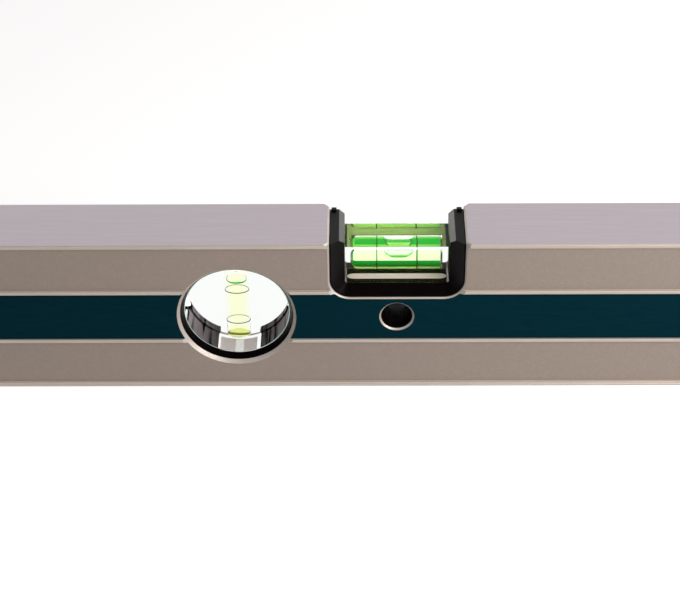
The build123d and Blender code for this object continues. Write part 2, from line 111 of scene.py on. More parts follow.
shades = {"Fac": ray.outputs["Is Transmission Ray"], 1: plain_or_seen.outputs[0], 2: white.outputs[0]}
through_glass = node(tree, "ShaderNodeMixShader", shades)
node(tree, "ShaderNodeOutputMaterial", {"Surface": through_glass.outputs[0]})

floor_half, floor_z = 4.0, -0.02 * MM
corners = [(floor_half * x, floor_half * y, floor_z) for x, y in ((-1, -1), (1, -1), (1, 1), (-1, 1))]
floor_mesh = bpy.data.meshes.new("floor")
floor_mesh.from_pydata(corners, [], [(0, 1, 2, 3)])
floor = bpy.data.objects.new("floor", floor_mesh)
floor.data.materials.append(floor_sheet)
scene.collection.objects.link(floor)
floor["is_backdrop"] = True

world = bpy.data.worlds.new("daylight")
scene.world = world
world.use_nodes = True
tree = world.node_tree
tree.nodes.clear()
ray = node(tree, "ShaderNodeLightPath")
rays = {0: ray.outputs["Is Camera Ray"], 1: ray.outputs["Is Glossy Ray"]}
seen = node(tree, "ShaderNodeMath", rays, operation="MAXIMUM")
rays = {0: seen.outputs[0], 1: ray.outputs["Is Transmission Ray"]}
seen = node(tree, "ShaderNodeMath", rays, operation="MAXIMUM")
soft = node(tree, "ShaderNodeBackground", {"Color": linear("F4F3F8"), "Strength": 0.22})
white = node(tree, "ShaderNodeBackground", {"Color": linear("FFFFFF"), "Strength": 1.0})
either = node(tree, "ShaderNodeMixShader", {"Fac": seen.outputs[0], 1: soft.outputs[0], 2: white.outputs[0]})
node(tree, "ShaderNodeOutputWorld", {"Surface": either.outputs[0]})

for name, place, (wide, high), watts in (
    ("key_softbox", (0.52, -0.36, 0.44), (0.4, 0.3), 7.0),
    ("low_back_strip", (0.0, 1.2, 0.14), (2.2, 0.24), 8.0),
):
    lamp = bpy.data.lights.new(name, "AREA")
    lamp.shape = "RECTANGLE"
    lamp.size = wide
    lamp.size_y = high
    lamp.energy = watts
    lamp.color = linear("FFFCFA")[:3]
    holder = bpy.data.objects.new(name, lamp)
    aim = Vector(place).to_track_quat("Z", "Y").to_matrix().to_4x4()
    holder.matrix_world = Matrix.Translation(place) @ aim
    holder.visible_camera = False
    scene.collection.objects.link(holder)

look_at, distance = Vector((-19.2, 0, 30.085)) * MM, 615.8 * MM
pitch, yaw, roll = radians(36.978), radians(0.892), radians(-0.678)
back = Vector((sin(yaw) * cos(pitch), -cos(yaw) * cos(pitch), sin(pitch)))
right = Vector((0, 0, 1)).cross(back).normalized()
up = back.cross(right)
right, up = cos(roll) * right + sin(roll) * up, cos(roll) * up - sin(roll) * right
lens = bpy.data.cameras.new("camera")
lens.lens = 95.43
lens.sensor_width = 36
camera = bpy.data.objects.new("camera", lens)
turned = Matrix((right, up, back)).transposed().to_4x4()
camera.matrix_world = Matrix.Translation(look_at + distance * back) @ turned
scene.collection.objects.link(camera)
scene.camera = camera

# ---- profile ----
# One hollow extrusion of 6063 aluminium: two measuring faces, four proud beads on each side and two
# webs inside. It is bead-blasted and anodised, and then the notch and both holes are milled through
# it with a bevelled rim, so the rims are the only bright metal.
HEIGHT = 60 * MM
BEAD_Y = 12 * MM
PANEL_Y = 11.2 * MM
STRIPE_SEAT_Y = 11.05 * MM
CHAMBER_Y = 9.2 * MM
HOLE_Z = 29.7 * MM
PLUMB_X = -54 * MM
PLUMB_HOLE_RADIUS = 19.1 * MM
HANG_HOLE_RADIUS = 5.3 * MM
NOTCH_HALF, NOTCH_FLOOR, NOTCH_CORNER = 22.5 * MM, 37.5 * MM, 7 * MM


def metal(name, code, fleck_code, roughness, grit, bare, streak, fleck, bump):
    """Aluminium: grains of a lighter colour, as blasting or a cutter leaves, break up its sheen.

    Grit is the grains' size in millimetres, and a streak under 1 draws them out along the level.
    """
    made, tree = blank_material(name)
    place = node(tree, "ShaderNodeTexCoord")
    along = node(tree, "ShaderNodeMapping", {"Vector": place.outputs["Object"], "Scale": (streak, 1, 1)})
    grains = node(tree, "ShaderNodeTexVoronoi", {"Vector": along.outputs[0], "Scale": 1 / (grit * MM)})
    sizes = {"Vector": along.outputs[0], "Scale": 1 / (6 * grit * MM), "Detail": 4.0}
    clouds = node(tree, "ShaderNodeTexNoise", sizes)
    value = node(tree, "ShaderNodeSeparateColor", {"Color": grains.outputs["Color"]})
    factors = {0: value.outputs[0], 1: clouds.outputs["Fac"]}
    mixed = node(tree, "ShaderNodeMath", factors, operation="MULTIPLY")
    reach = {"Value": mixed.outputs[0], "From Min": 0.15, "From Max": 0.6, "To Max": fleck}
    share = node(tree, "ShaderNodeMapRange", reach)
    colours = {"Factor": share.outputs[0], 6: linear(code), 7: linear(fleck_code)}
    colour = node(tree, "ShaderNodeMix", colours, data_type="RGBA")
    reach = {"Value": mixed.outputs[0], "To Min": roughness + 0.05, "To Max": roughness - 0.08}
    rough = node(tree, "ShaderNodeMapRange", reach)
    grit_relief = {"Strength": bump, "Distance": 0.03 * MM, "Height": mixed.outputs[0]}
    relief = node(tree, "ShaderNodeBump", grit_relief)
    look = {"Base Color": colour.outputs[2], "Metallic": bare, "Roughness": rough.outputs[0]}
    skin = node(tree, "ShaderNodeBsdfPrincipled", {**look, "Normal": relief.outputs[0]})
    node(tree, "ShaderNodeOutputMaterial", {"Surface": skin.outputs[0]})
    return made


# The blasted panels are matt and speckled, the beads and the measuring faces are rubbed brighter along
# the level, and the bevelled rims keep the fine marks of the cutter. The measuring faces' cool lavender
# cast is a painted reflection of a cool surround.
blasted = metal("bead_blasted_anodised_aluminium", "908379", "A4968B", 0.55, 0.35, 0.35, 1.0, 0.3, 0.12)
bead_skin = metal("burnished_anodised_aluminium", "B5A99F", "C8BDB3", 0.45, 0.4, 0.5, 0.05, 0.4, 0.08)
measuring = metal("milled_anodised_aluminium", "AFA6AC", "BDB4BB", 0.45, 0.5, 0.8, 0.04, 0.18, 0.04)
rim = metal("bevelled_bare_aluminium", "A8A098", "B8B0A8", 0.5, 0.35, 0.4, 0.3, 0.5, 0.1)


def rounded(corners, steps=5):
    """The points of a closed outline whose corners, given as (a, b, radius), are rounded off."""
    points = []
    for i, (a, b, radius) in enumerate(corners):
        here = Vector((a, b))
        if not radius:
            points.append(here)
            continue
        before = (Vector(corners[i - 1][:2]) - here).normalized()
        after = (Vector(corners[(i + 1) % len(corners)][:2]) - here).normalized()
        half = before.angle(after) / 2
        centre = here + (before + after).normalized() * radius / sin(half)
        start = here + before * radius / (sin(half) / cos(half)) - centre
        turn = start.angle_signed(here + after * radius / (sin(half) / cos(half)) - centre)
        for k in range(steps + 1):
            points.append(centre + Matrix.Rotation(-turn * k / steps, 2) @ start)
    return points


# One side's outline from foot to top, as (y, z, rounding): a bead with a fine V groove, a blasted panel,
# a bead, the stripe's channel, and the same again upwards. Fillets lie under the upper panel beads.
side = [
    (BEAD_Y, 0, 0.3 * MM), (BEAD_Y, 0.75 * MM, 0.1 * MM), (BEAD_Y - 0.2 * MM, 0.95 * MM, 0),
    (BEAD_Y, 1.15 * MM, 0.1 * MM), (BEAD_Y, 1.8 * MM, 0.25 * MM), (PANEL_Y, 1.8 * MM, 0.12 * MM),
    (PANEL_Y, 19.2 * MM, 0.5 * MM), (BEAD_Y, 19.2 * MM, 0.25 * MM), (BEAD_Y, 20.5 * MM, 0.25 * MM),
    (STRIPE_SEAT_Y, 20.5 * MM, 0), (STRIPE_SEAT_Y, 39.5 * MM, 0.6 * MM), (BEAD_Y, 39.5 * MM, 0.25 * MM),
    (BEAD_Y, 40.8 * MM, 0.25 * MM), (PANEL_Y, 40.8 * MM, 0.12 * MM), (PANEL_Y, 58.2 * MM, 0.5 * MM),
    (BEAD_Y, 58.2 * MM, 0.25 * MM), (BEAD_Y, 59.4 * MM, 0.08 * MM), (BEAD_Y - 0.22 * MM, 59.6 * MM, 0),
    (BEAD_Y, 59.8 * MM, 0.08 * MM), (BEAD_Y, 60 * MM, 0.1 * MM),
]
outlines = [rounded(side + [(-y, z, r) for y, z, r in reversed(side)])]
for bottom, top in ((3 * MM, 19.05 * MM), (20.65 * MM, 39.35 * MM), (40.95 * MM, 57 * MM)):
    corners = ((CHAMBER_Y, bottom), (CHAMBER_Y, top), (-CHAMBER_Y, top), (-CHAMBER_Y, bottom))
    outlines.append(rounded([(y, z, 0.4 * MM) for y, z in corners]))
section = bpy.data.curves.new("profile_section", "CURVE")
section.dimensions = "2D"
for outline in outlines:
    spline = section.splines.new("POLY")
    spline.points.add(len(outline) - 1)
    for point, (a, b) in zip(spline.points, outline):
        point.co = (a, b, 0, 1)
    spline.use_cyclic_u = True


def solid(name, shape, *skins):
    """Make a finished bmesh an object of these materials, and link it to the scene."""
    mesh = bpy.data.meshes.new(name)
    shape.to_mesh(mesh)
    shape.free()
    for skin in skins:
        mesh.materials.append(skin)
    made = bpy.data.objects.new(name, mesh)
    scene.collection.objects.link(made)
    return made


def cutter(name, outline_at, flare):
    """A milling cutter's sweep through the body, front to back, flared to 45 degrees at both faces."""
    over = 0.5 * MM
    out, inside = BEAD_Y + over, BEAD_Y - flare
    stations = ((-out, flare + over), (-inside, 0), (inside, 0), (out, flare + over))
    shape = bmesh.new()
    rings = [[shape.verts.new((x, y, z)) for x, z in outline_at(grown)] for y, grown in stations]
    shape.faces.new(rings[0])
    shape.faces.new(rings[-1][::-1])
    for one, two in zip(rings, rings[1:]):
        for i in range(len(one)):
            shape.faces.new((one[i], one[i - 1], two[i - 1], two[i]))
    bmesh.ops.recalc_face_normals(shape, faces=shape.faces)
    return solid(name, shape, rim)


def notch_outline(grown):
    """The notch's U, with the chamfer where its sides meet the top measuring face."""
    half, chamfer, out = NOTCH_HALF + grown, 0.6 * MM, 2.6 * MM
    u = [
        (half + out, HEIGHT - chamfer + out, 0), (half, HEIGHT - chamfer, 0),
        (half, NOTCH_FLOOR - grown, NOTCH_CORNER + grown),
    ]
    return rounded(u + [(-x, z, r) for x, z, r in reversed(u)], steps=16)


def circle_outline(centre_x, radius):
    """A round hole's outline, at the height that both holes share, for each station's growth."""
    turns = [2 * pi * k / 128 for k in range(128)]
    return lambda grown: [
        (centre_x + (radius + grown) * cos(t), HOLE_Z + (radius + grown) * sin(t)) for t in turns
    ]


cutters = (
    cutter("notch_cutter", notch_outline, 1.3 * MM),
    cutter("plumb_hole_cutter", circle_outline(PLUMB_X, PLUMB_HOLE_RADIUS), 1.9 * MM),
    cutter("hang_hole_cutter", circle_outline(0, HANG_HOLE_RADIUS), 1.45 * MM),
)


def geometry_tree(name, inputs, output):
    """A Geometry Nodes tree with these named inputs and one output, and the inputs' sockets."""
    tree = bpy.data.node_groups.new(name, "GeometryNodeTree")
    for label, kind in inputs:
        tree.interface.new_socket(label, in_out="INPUT", socket_type=f"NodeSocket{kind}")
    tree.interface.new_socket(output, in_out="OUTPUT", socket_type="NodeSocketGeometry")
    return tree, node(tree, "NodeGroupInput").outputs


extrusion, given = geometry_tree(
    "extrude_and_mill",
    (
        ("Section", "Geometry"), ("Length", "Float"), ("Bead Side", "Float"), ("Body Metal", "Material"),
        ("Bead Metal", "Material"), ("Measuring Metal", "Material"), ("Cutter 1", "Object"),
        ("Cutter 2", "Object"), ("Cutter 3", "Object"),
    ),
    "Profile",
)
flat = node(extrusion, "GeometryNodeFillCurve", {"Curve": given["Section"]})
draw = {"Mesh": flat.outputs[0], "Offset Scale": given["Length"], "Individual": False}
grown = node(extrusion, "GeometryNodeExtrudeMesh", draw)
near_end = node(extrusion, "GeometryNodeFlipFaces", {"Mesh": flat.outputs[0]})
closed = node(extrusion, "GeometryNodeJoinGeometry", {"Geometry": grown.outputs["Mesh"]})
extrusion.links.new(near_end.outputs[0], closed.inputs[0])
weld = {"Geometry": closed.outputs[0], "Distance": 0.001 * MM}
welded = node(extrusion, "GeometryNodeMergeByDistance", weld)
half = node(extrusion, "ShaderNodeMath", {0: given["Length"], 1: -0.5}, operation="MULTIPLY")
shift = node(extrusion, "ShaderNodeCombineXYZ", {"X": half.outputs[0]})
lay = {"Geometry": welded.outputs[0], "Translation": shift.outputs[0], "Rotation": (pi / 2, 0, pi / 2)}
laid = node(extrusion, "GeometryNodeTransform", lay)
paint = {"Geometry": laid.outputs[0], "Material": given["Body Metal"]}
body_metal = node(extrusion, "GeometryNodeSetMaterial", paint)
place, normal = node(extrusion, "GeometryNodeInputPosition"), node(extrusion, "GeometryNodeInputNormal")
spot = node(extrusion, "ShaderNodeSeparateXYZ", {"Vector": place.outputs[0]})
facing = node(extrusion, "ShaderNodeSeparateXYZ", {"Vector": normal.outputs[0]})
aside = node(extrusion, "ShaderNodeMath", {0: spot.outputs["Y"]}, operation="ABSOLUTE")
limits = {0: aside.outputs[0], 1: given["Bead Side"]}
proud = node(extrusion, "FunctionNodeCompare", limits, operation="GREATER_THAN")
paint = {"Geometry": body_metal.outputs[0], "Selection": proud.outputs[0], "Material": given["Bead Metal"]}
bead_metal = node(extrusion, "GeometryNodeSetMaterial", paint)
upright = node(extrusion, "ShaderNodeMath", {0: facing.outputs["Z"]}, operation="ABSOLUTE")
limits = {0: upright.outputs[0], 1: 0.99}
level_face = node(extrusion, "FunctionNodeCompare", limits, operation="GREATER_THAN")
middle = node(extrusion, "ShaderNodeMath", {0: spot.outputs["Z"], 1: -HEIGHT / 2}, operation="ADD")
far = node(extrusion, "ShaderNodeMath", {0: middle.outputs[0]}, operation="ABSOLUTE")
limits = {0: far.outputs[0], 1: HEIGHT / 2 - 0.1 * MM}
outermost = node(extrusion, "FunctionNodeCompare", limits, operation="GREATER_THAN")
faces = {0: level_face.outputs[0], 1: outermost.outputs[0]}
both = node(extrusion, "FunctionNodeBooleanMath", faces, operation="AND")
paint = {"Geometry": bead_metal.outputs[0], "Selection": both.outputs[0]}
paint["Material"] = given["Measuring Metal"]
measuring_metal = node(extrusion, "GeometryNodeSetMaterial", paint)
body = {"Mesh 1": measuring_metal.outputs[0]}
milled = node(extrusion, "GeometryNodeMeshBoolean", body, operation="DIFFERENCE", solver="EXACT")
for k in range(len(cutters)):
    tool = node(extrusion, "GeometryNodeObjectInfo", {"Object": given[f"Cutter {k + 1}"]})
    extrusion.links.new(tool.outputs["Geometry"], milled.inputs["Mesh 2"])
whole = node(extrusion, "GeometryNodeRealizeInstances", {"Geometry": milled.outputs["Mesh"]})
node(extrusion, "NodeGroupOutput", {"Profile": whole.outputs[0]})


def plain_mesh(host, tree, sizes):
    """Run a geometry tree on its host and return what it makes as one plain mesh object."""
    if host.name not in scene.collection.objects:
        scene.collection.objects.link(host)
    maker = host.modifiers.new(tree.name, "NODES")
    maker.node_group = tree
    for item in tree.interface.items_tree:
        if item.in_out == "INPUT" and item.name in sizes:
            maker[item.identifier] = sizes[item.name]
    bpy.context.view_layer.update()
    mesh = bpy.data.meshes.new_from_object(host.evaluated_get(bpy.context.evaluated_depsgraph_get()))
    name = host.name
    bpy.data.objects.remove(host)
    made = bpy.data.objects.new(name, mesh)
    scene.collection.objects.link(made)
    return made


def smooth(piece, angle=30, flats=False):
    """Shade a mesh smooth up to this angle in degrees, and keep its large flats flat where asked."""
    piece.data.shade_smooth()
    piece.data.set_sharp_from_angle(angle=radians(angle))
    if flats:
        even = piece.modifiers.new("flat_faces", "WEIGHTED_NORMAL")
        even.weight = 100
        even.keep_sharp = True


low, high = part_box("profile")
profile = plain_mesh(
    bpy.data.objects.new("profile_body", section),
    extrusion,
    {
        "Length": high.x - low.x, "Bead Side": PANEL_Y + 0.01 * MM, "Body Metal": blasted,
        "Bead Metal": bead_skin, "Measuring Metal": measuring, "Cutter 1": cutters[0],
        "Cutter 2": cutters[1], "Cutter 3": cutters[2],
    },
)
for tool in cutters:
    bpy.data.objects.remove(tool)
smooth(profile, flats=True)
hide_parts("profile")
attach(profile, "level")


# ---- stripes ----
# A dark teal PVC foil is pressed into the shallow channel between the two middle beads on each side.
# Calendered foil is smooth and even, with a faint grain along its length.
def patches(tree, code, patch_code, size, detail=2.0, streak=1.0):
    """A colour with soft patches of another, of this size: its socket, and that of the patches' strength."""
    place = node(tree, "ShaderNodeTexCoord")
    along = node(tree, "ShaderNodeMapping", {"Vector": place.outputs["Object"], "Scale": (streak, 1, 1)})
    sizes = {"Vector": along.outputs[0], "Scale": 1 / size, "Detail": detail}
    patch = node(tree, "ShaderNodeTexNoise", sizes)
    colours = {"Factor": patch.outputs["Fac"], 6: linear(code), 7: linear(patch_code)}
    return node(tree, "ShaderNodeMix", colours, data_type="RGBA").outputs[2], patch.outputs["Fac"]


foil, tree = blank_material("calendered_pvc_foil")
tint, grain = patches(tree, "012029", "022C36", 0.5 * MM, 3.0, streak=0.08)
relief = node(tree, "ShaderNodeBump", {"Strength": 0.1, "Distance": 0.02 * MM, "Height": grain})
look = {"Base Color": tint, "Roughness": 0.45, "Specular IOR Level": 0.02, "Normal": relief.outputs[0]}
skin = node(tree, "ShaderNodeBsdfPrincipled", look)
node(tree, "ShaderNodeOutputMaterial", {"Surface": skin.outputs[0]})
for name in ("front_stripe", "back_stripe"):
    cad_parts[name].data.materials.clear()
    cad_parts[name].data.materials.append(foil)

# ---- main vial frame ----
# A U moulded in black ABS holds the vial block and is cast onto the notch floor by two resin beds.
# The tool was lightly spark-eroded, so the plastic is satin, and its arms carry bright 45 degree facets.
plastics = []
for name, smoothest, roughest, level in (
    ("moulded_black_abs", 0.26, 0.36, 0.25),
    ("turned_black_abs", 0.3, 0.4, 0.05),
    ("polished_black_abs", 0.12, 0.24, 0.15),
):
    made, tree = blank_material(name)
    tint, cloud = patches(tree, "060303", "0A0607", 5 * MM)
    rough = node(tree, "ShaderNodeMapRange", {"Value": cloud, "To Min": smoothest, "To Max": roughest})
    place = node(tree, "ShaderNodeTexCoord")
    sizes = {"Vector": place.outputs["Object"], "Scale": 1 / (0.35 * MM), "Detail": 3.0}
    pits = node(tree, "ShaderNodeTexNoise", sizes)
    pitted = {"Strength": 0.12, "Distance": 0.02 * MM, "Height": pits.outputs["Fac"]}
    relief = node(tree, "ShaderNodeBump", pitted)
    look = {"Base Color": tint, "Roughness": rough.outputs[0], "Specular IOR Level": level}
    look |= {"Specular Tint": linear("303030"), "Normal": relief.outputs[0]}
    skin = node(tree, "ShaderNodeBsdfPrincipled", look)
    node(tree, "ShaderNodeOutputMaterial", {"Surface": skin.outputs[0]})
    plastics.append(made)
abs_black, abs_turned, abs_gloss = plastics


def moulded(name, source, skin, edge, grooves=None):
    """A smooth piece from a CAD node's joined-up mesh, with its sharp edges eased by this radius.

    Grooves, if any, are cut by a geometry tree, given with its sizes.
    """
    shape = bmesh.new()
    shape.from_mesh(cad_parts[source].data)
    bmesh.ops.remove_doubles(shape, verts=shape.verts, dist=0.0005 * MM)
    bmesh.ops.dissolve_limit(shape, angle_limit=radians(0.5), verts=shape.verts, edges=shape.edges)
    for layer in list(shape.loops.layers.float_vector.values()):
        shape.loops.layers.float_vector.remove(layer)
    made = solid(name, shape, skin)
    ease = made.modifiers.new("eased_edges", "BEVEL")
    ease.width = edge
    ease.segments = 2
    ease.limit_method = "ANGLE"
    ease.angle_limit = radians(32)
    ease.harden_normals = False
    if grooves:
        made = plain_mesh(made, *grooves)
    smooth(made, flats=True)
    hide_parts(source)
    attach(made, "level")


moulded("main_frame_moulding", "main_vial_frame", abs_black, edge=0.12 * MM)

# ---- reflector, resin and cement ----
# A pale strip let into the frame's floor throws light up through the liquid. The beds of amber epoxy are
# hidden inside the body, and olive black cement bonds the block. Seen at a slant, strip and cement keep
# their own colour; seen more squarely they are painted with the vial's green light, except behind the bore.
strip_skins = []
for name, code, dark_code, steep_code, roughness in (
    ("pearlescent_pale_polystyrene", "FAD8E8", "EECCDC", "B4C67C", 0.55),
    ("cast_amber_epoxy", "8A7350", "6E5A3C", "8A7350", 0.3),
    ("olive_black_cement", "16180A", "22240E", "B0C478", 0.6),
):
    made, tree = blank_material(name)
    tint, _ = patches(tree, code, dark_code, 2 * MM, 3.0)
    place = node(tree, "ShaderNodeTexCoord")
    spot = node(tree, "ShaderNodeSeparateXYZ", {"Vector": place.outputs["Object"]})
    glance = node(tree, "ShaderNodeLayerWeight", {"Blend": 0.5})
    reach = {"Value": glance.outputs["Facing"], "From Min": 0.3, "From Max": 0.45}
    flatly = node(tree, "ShaderNodeMapRange", reach)
    reach = {"Value": spot.outputs["Y"], "From Min": 3.5 * MM, "From Max": 4.4 * MM}
    far_back = node(tree, "ShaderNodeMapRange", reach)
    aside = node(tree, "ShaderNodeMath", {0: spot.outputs["X"]}, operation="ABSOLUTE")
    reach = {"Value": aside.outputs[0], "From Min": 15 * MM, "From Max": 15.6 * MM}
    under_bore = node(tree, "ShaderNodeMapRange", {**reach, "To Min": 1.0, "To Max": 0.0})
    places = {0: far_back.outputs[0], 1: under_bore.outputs[0]}
    own_colour_share = node(tree, "ShaderNodeMath", places, operation="MULTIPLY")
    own_colour_share = node(tree, "ShaderNodeMath", {0: flatly.outputs[0], 1: own_colour_share.outputs[0]}, operation="MAXIMUM")
    # steep_code is painted green light from the vial; the amber epoxy's steep_code is its own colour.
    colours = {"Factor": own_colour_share.outputs[0], 6: linear(steep_code), 7: tint}
    tint = node(tree, "ShaderNodeMix", colours, data_type="RGBA").outputs[2]
    look = {"Base Color": tint, "Roughness": roughness, "Specular IOR Level": 0.0}
    skin = node(tree, "ShaderNodeBsdfPrincipled", look)
    node(tree, "ShaderNodeOutputMaterial", {"Surface": skin.outputs[0]})
    strip_skins.append(made)
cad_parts["main_frame_resin"].data.materials.clear()
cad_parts["main_frame_resin"].data.materials.append(strip_skins[1])


def prism(name, outline, axis, start, end, skin, edge=0.0):
    """A flat outline of (x, y) or (x, z) points, drawn out along Z or Y, with its upper rims eased."""
    shape = bmesh.new()
    points = [(a, start, b) if axis == "Y" else (a, b, start) for a, b in outline]
    face = shape.faces.new([shape.verts.new(point) for point in points])
    drawn = bmesh.ops.extrude_face_region(shape, geom=[face])["geom"]
    far_side = [v for v in drawn if isinstance(v, bmesh.types.BMVert)]
    way = Vector((0, 1, 0)) if axis == "Y" else Vector((0, 0, 1))
    bmesh.ops.translate(shape, verts=far_side, vec=way * (end - start))
    bmesh.ops.recalc_face_normals(shape, faces=shape.faces)
    if edge:
        foot = min(v.co.z for v in shape.verts) + 1 * MM
        sharp = [e for e in shape.edges if e.calc_face_angle() > radians(60)]
        rims = [e for e in sharp if min(v.co.z for v in e.verts) > foot]
        bmesh.ops.bevel(shape, geom=rims, offset=edge, segments=3, profile=0.5, affect="EDGES")
    return solid(name, shape, skin)


low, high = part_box("main_vial_reflector")
half_wide = 2.5 * MM
run, mid_y = high.x - half_wide, low.y + half_wide
turns = [pi * k / 24 for k in range(25)]
stadium = [(run + half_wide * sin(t), mid_y - half_wide * cos(t)) for t in turns]
stadium += [(-run - half_wide * sin(t), mid_y + half_wide * cos(t)) for t in turns]
proud = 0.02 * MM
reflector = prism("reflector_strip", stadium, "Z", low.z, high.z + proud, strip_skins[0])
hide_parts("main_vial_reflector")
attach(reflector, "level")

# ---- main vial block ----
# Clear cast acrylic, milled and polished all over, is bored from its right end and bonded to the frame
# floor, so the floor shows through it without a gap. The bore's wall is drawn by the liquid's surface.
ACRYLIC_INDEX = 1.49
acrylic, tree = blank_material("polished_cast_acrylic")
tint, _ = patches(tree, "FFFFFF", "FAFCFB", 6 * MM)
look = {"Base Color": tint, "Roughness": 0.0, "IOR": ACRYLIC_INDEX, "Transmission Weight": 1.0}
clear = node(tree, "ShaderNodeBsdfPrincipled", {**look, "Specular Tint": linear("202020")})
thick = node(tree, "ShaderNodeVolumeAbsorption", {"Color": linear("D4E8C8"), "Density": 3.0})
node(tree, "ShaderNodeOutputMaterial", {"Surface": clear.outputs[0], "Volume": thick.outputs[0]})

BOND = 0.03 * MM  # how far the block reaches into what it is bonded to
low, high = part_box("main_vial_block")
corner, foot = 0.9 * MM, low.z - BOND
corners = [(low.x, high.z, 0), (low.x, foot, corner), (high.x, foot, corner), (high.x, high.z, 0)]
outline = rounded(corners, steps=12)
main_block = prism("main_block_body", outline, "Y", low.y, high.y, acrylic, edge=0.15 * MM)
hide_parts("main_vial_block")
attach(main_block, "level")

# Where the block is bonded to the moulding there is no air to mirror light, so a film of dark cement
# lines the seat, from one arm's top to the other's.
outside, inside, half_deep = 0.15 * MM, 0.01 * MM, 6.7 * MM
seat = [(high.x - inside, high.z, 0), (high.x - inside, low.z + inside, corner)]
seat += [(-x, z, r) for x, z, r in reversed(seat)]
shell = [(high.x + outside, high.z, 0), (high.x + outside, low.z - outside, 0)]
shell += [(-x, z, r) for x, z, r in reversed(shell)]
outline = rounded(shell + seat[::-1])
film = prism("main_block_cement", outline, "Y", -half_deep, half_deep, strip_skins[2])
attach(film, "level")

# ---- main vial plug, index rings, liquid and bubble ----
# The bore holds alcohol with a fluorescent green dye, closed by a clear plug, and two dark rings are
# inked in grooves of its wall. Each surface here divides two clear materials, so its index is the ratio
# of the two: alcohol 1.36 in acrylic 1.49, and gas 1.00 in alcohol.
ALCOHOL_IN_ACRYLIC = 1.36 / ACRYLIC_INDEX
GAS_IN_ALCOHOL = 1.00 / 1.36


def liquid(name, tint_code, density, glow_code, strength, index, low_z, high_z):
    """Dyed alcohol: it takes blue from light that passes, and carries a painted glow for its dye, strongest
    towards the top.
    """
    made, tree = blank_material(name)
    wall = node(tree, "ShaderNodeBsdfGlass", {"Color": linear("FFFFFF"), "Roughness": 0.0, "IOR": index})
    tint = node(tree, "ShaderNodeVolumeAbsorption", {"Color": linear(tint_code), "Density": density})
    place = node(tree, "ShaderNodeTexCoord")
    spot = node(tree, "ShaderNodeSeparateXYZ", {"Vector": place.outputs["Object"]})
    reach = {"Value": spot.outputs["Z"], "From Min": low_z, "From Max": high_z}
    # The glow is painted light, rising from low_z to high_z.
    lit = node(tree, "ShaderNodeMapRange", {**reach, "To Min": 0.2 * strength, "To Max": 2.6 * strength})
    painted_glow = node(tree, "ShaderNodeEmission", {"Color": linear(glow_code), "Strength": lit.outputs[0]})
    both = node(tree, "ShaderNodeAddShader", {0: tint.outputs[0], 1: painted_glow.outputs[0]})
    node(tree, "ShaderNodeOutputMaterial", {"Surface": wall.outputs[0], "Volume": both.outputs[0]})
    return made


BORE_RADIUS = 4 * MM
low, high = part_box("main_vial_liquid")
bore_z = (low.z + high.z) / 2
span = (bore_z - BORE_RADIUS, bore_z + BORE_RADIUS)
green = liquid("green_dyed_alcohol", "FFFF60", 60.0, "00D838", 56.0, ALCOHOL_IN_ACRYLIC, *span)

# The gas is clear, and the sides of each bubble carry a painted green edge for the green light refracted
# there.
# The plumb vial's bubble is nearly free of dark edges, so its index is set closer to that of what surrounds
# it.
PLUMB_GAS_INDEX = 0.93
gas_skins = []
for name, code, index in (
    ("main_bubble_gas_surface", "FFFFFF", GAS_IN_ALCOHOL),
    ("main_bubble_dyed_meniscus", "28A858", GAS_IN_ALCOHOL),
    ("plumb_bubble_gas_surface", "FFFFFF", PLUMB_GAS_INDEX),
    ("plumb_bubble_dyed_meniscus", "30D070", PLUMB_GAS_INDEX),
):
    made, tree = blank_material(name)
    skin = node(tree, "ShaderNodeBsdfGlass", {"Color": linear(code), "Roughness": 0.0, "IOR": index})
    node(tree, "ShaderNodeOutputMaterial", {"Surface": skin.outputs[0]})
    gas_skins.append(made)

# Ink is matt and patchy. On the far side of the plumb vial's rings it is painted pale, as painted light, so
# those shaded arcs read faint.
ink_skins = []
for name, code, patch_code in (
    ("fired_index_ink", "1C2412", "2C3A1A"),
    ("worn_index_ink", "ECF0C4", "F8FAD8"),
):
    made, tree = blank_material(name)
    tint, _ = patches(tree, code, patch_code, 0.8 * MM)
    look = {"Base Color": tint, "Roughness": 0.6, "Specular IOR Level": 0.0}
    skin = node(tree, "ShaderNodeBsdfPrincipled", look)
    node(tree, "ShaderNodeOutputMaterial", {"Surface": skin.outputs[0]})
    ink_skins.append(made)
ink, pale_painted_rear_ink = ink_skins


def lathe(name, outline, centre, axis, skin, steps=128, gap=0.0):
    """An outline of (along, radius) points turned about an axis, with a gap each side of its foot."""
    shape = bmesh.new()
    across = {"X": Vector((0, 0, 1)), "Y": Vector((0, 0, 1)), "Z": Vector((1, 0, 0))}[axis]
    length = {"X": Vector((1, 0, 0)), "Y": Vector((0, 1, 0)), "Z": Vector((0, 0, 1))}[axis]
    count = steps + 1 if gap else steps
    angles = [pi + gap + 2 * (pi - gap) * k / steps for k in range(count)]
    turns = [Matrix.Rotation(angle, 3, length) @ across for angle in angles]
    rings = []
    for along, radius in outline:
        middle, spokes = Vector(centre) + length * along, turns if radius else turns[:1]
        rings.append([shape.verts.new(middle + radius * spoke) for spoke in spokes])
    closed = outline[0][1] > 0 and outline[-1][1] > 0
    pairs = list(zip(rings, rings[1:])) + ([(rings[-1], rings[0])] if closed else [])
    for one, two in pairs:
        for k in range(steps):
            j = (k + 1) % count
            corners = [one[k % len(one)], one[j % len(one)], two[j % len(two)], two[k % len(two)]]
            shape.faces.new(list(dict.fromkeys(corners)))
    for k in (0, -1) if gap else ():
        shape.faces.new([ring[k] for ring in rings])
    bmesh.ops.recalc_face_normals(shape, faces=shape.faces)
    made = solid(name, shape, skin)
    smooth(made)
    return made


def quarter(centre_along, centre_radius, radius, start, end, steps=10):
    """Points of a rounded corner in a turned outline, from one angle to another in degrees."""
    turns = [radians(start + (end - start) * k / steps) for k in range(steps + 1)]
    return [(centre_along + radius * cos(t), centre_radius + radius * sin(t)) for t in turns]


